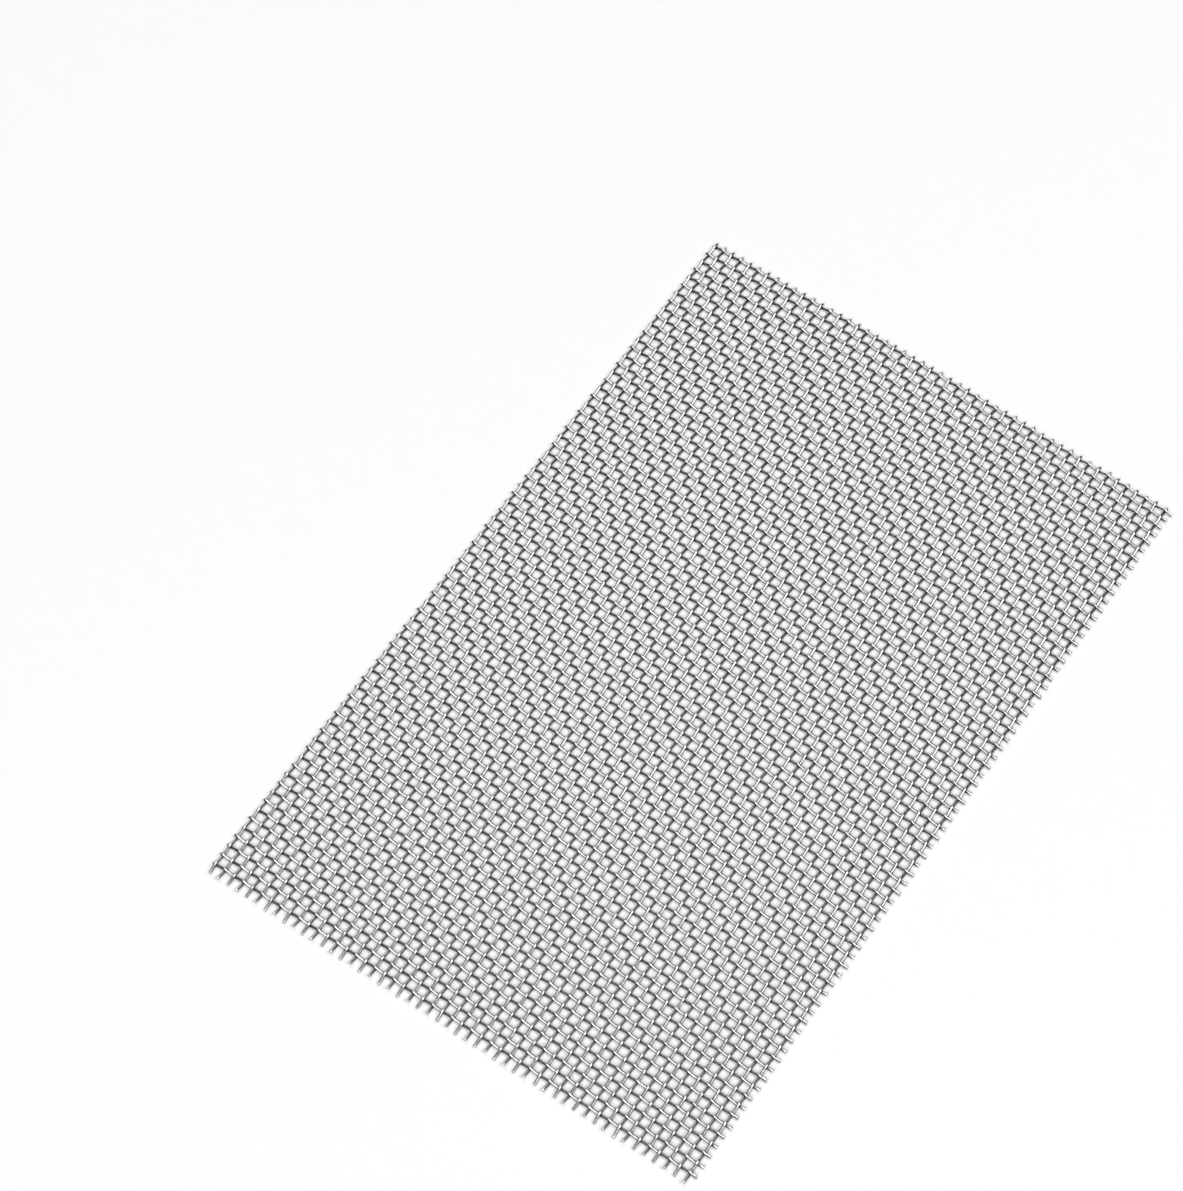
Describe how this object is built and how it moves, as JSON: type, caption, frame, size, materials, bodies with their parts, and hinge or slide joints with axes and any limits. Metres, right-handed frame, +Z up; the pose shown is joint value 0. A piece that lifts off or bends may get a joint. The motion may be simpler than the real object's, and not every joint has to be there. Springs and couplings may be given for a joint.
{
  "type": "wire gauze",
  "caption": "Flat rectangular sheet of plain-woven round steel wire with square openings and bare cut wire ends on every edge, laid under glassware or used as a coarse screen.",
  "frame": {"origin": "under the middle of the sheet's outline, on the surface that the sheet lies on", "axes": "+Z up, out of the sheet; +Y along the warp wires, the sheet's long side; +X along the weft wires, the short side"},
  "size_m": [0.1, 0.1504, 0.0011],
  "materials": {
    "steel_wire": "bright drawn stainless steel wire"
  },
  "bodies": {
    "root": {"warp_wires_odd": "steel_wire", "warp_wires_even": "steel_wire", "weft_wires_odd": "steel_wire", "weft_wires_even": "steel_wire"}
  },
  "joints": []
}
